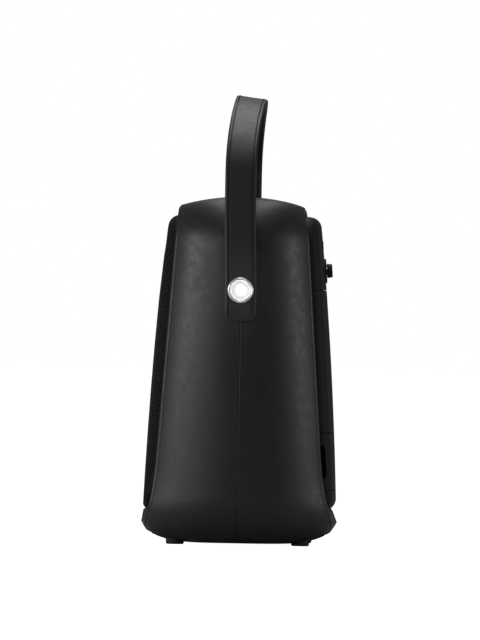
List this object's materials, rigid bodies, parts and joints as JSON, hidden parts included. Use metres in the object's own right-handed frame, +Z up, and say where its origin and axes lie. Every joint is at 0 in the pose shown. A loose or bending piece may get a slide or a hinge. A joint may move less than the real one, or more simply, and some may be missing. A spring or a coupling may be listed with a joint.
{
  "type": "portable loudspeaker",
  "caption": "Portable battery loudspeaker: tapered leather-covered cabinet, bowed mesh grille, rear controls, removable battery hatch and a leather strap handle that swings on metal studs.",
  "frame": {"origin": "on the ground under the middle of the cabinet, level with the soles of the feet", "axes": "+Z up, -Y towards the grille (front), +Y towards the control panel and battery hatch (rear), X across from stud to stud"},
  "size_m": [0.203, 0.1356, 0.3136],
  "materials": {
    "black_leatherette": "grained, satin",
    "black_leather": "smooth grain, satin",
    "satin_nickel": "satin, bright rim",
    "black_rubber": "matt",
    "black_perforated_steel": "fine perforation, satin black paint",
    "black_plastic": "fine texture",
    "screw_steel": "zinc plated",
    "nylon": "smooth",
    "pressed_steel": "black paint",
    "ferrite": "matt",
    "paper_cone": "matt",
    "coil_copper": "bare",
    "silk_dome": "coated",
    "clear_lens": "polished",
    "board_green": "solder mask",
    "sink_aluminium": "bare",
    "capacitor_sleeve": "sleeve",
    "battery_wrap": "heat-shrink sleeve",
    "contact_brass": "plated"
  },
  "bodies": {
    "cabinet": {"anchor_nuts": "screw_steel", "aux_jack": "black_plastic", "baffle_screws": "screw_steel", "baffle_seal": "black_rubber", "bass_port": "black_plastic", "battery_contacts": "contact_brass", "button_switches": "black_plastic", "cabinet_screws": "screw_steel", "capacitors": "capacitor_sleeve", "chassis_screws": "screw_steel", "control_board": "board_green", "control_board_screws": "screw_steel", "control_panel": "black_plastic", "foot_screws": "screw_steel", "front_baffle": "black_plastic", "front_shell": "black_leatherette", "grille_frame": "black_plastic", "grille_mesh": "black_perforated_steel", "heat_sink": "sink_aluminium", "left_tweeter": "black_plastic", "left_tweeter_dome": "silk_dome", "main_board": "board_green", "main_board_screws": "screw_steel", "power_jack": "black_plastic", "rear_chassis": "black_plastic", "rear_foot_cover": "black_plastic", "rear_middle_cover": "black_plastic", "rear_seal": "black_rubber", "rear_shell": "black_leatherette", "right_tweeter": "black_plastic", "right_tweeter_dome": "silk_dome", "rubber_feet": "black_rubber", "status_lens": "clear_lens", "strap_anchors": "screw_steel", "strap_studs": "satin_nickel", "strap_washers": "nylon", "tweeter_screws": "screw_steel", "volume_encoder": "black_plastic", "woofer_basket": "pressed_steel", "woofer_magnet": "ferrite", "woofer_screws": "screw_steel", "woofer_surround": "black_rubber"},
    "strap": {"strap": "black_leather"},
    "volume_knob": {"volume_knob": "black_plastic", "encoder_shaft": "screw_steel"},
    "power_button": {"power_button": "black_plastic"},
    "pairing_button": {"pairing_button": "black_plastic"},
    "battery_hatch": {"battery_hatch": "black_plastic"},
    "battery_pack": {"battery_pack": "battery_wrap"},
    "woofer_cone": {"woofer_cone": "paper_cone", "voice_coil": "coil_copper", "dust_cap": "paper_cone"}
  },
  "joints": [
    {"name": "strap_swing", "type": "hinge", "parent": "cabinet", "child": "strap", "pos_m": [0, 0, 0.177], "axis": [1, 0, 0], "range_deg": [-80, 80]},
    {"name": "volume_turn", "type": "hinge", "parent": "cabinet", "child": "volume_knob", "pos_m": [0, 0.05795, 0.19173], "axis": [0, 0.9975, 0.0706], "range_deg": [-140, 140]},
    {"name": "power_press", "type": "slide", "parent": "cabinet", "child": "power_button", "axis": [0, -0.9975, -0.0706], "range_m": [0, 0.001]},
    {"name": "pairing_press", "type": "slide", "parent": "cabinet", "child": "pairing_button", "axis": [0, -0.9975, -0.0706], "range_m": [0, 0.001]},
    {"name": "hatch_removal", "type": "slide", "parent": "cabinet", "child": "battery_hatch", "axis": [0, 0.9975, 0.0706], "range_m": [0, 0.06]},
    {"name": "battery_removal", "type": "slide", "parent": "cabinet", "child": "battery_pack", "axis": [0, 0.9975, 0.0706], "range_m": [0, 0.03]},
    {"name": "woofer_travel", "type": "slide", "parent": "cabinet", "child": "woofer_cone", "axis": [0, -0.9975, 0.0706], "range_m": [-0.003, 0.003], "deforming": ["woofer_surround"]}
  ],
  "couplings": [
    {"joint": "battery_removal", "follows": "hatch_removal", "ratio": 0.5}
  ]
}
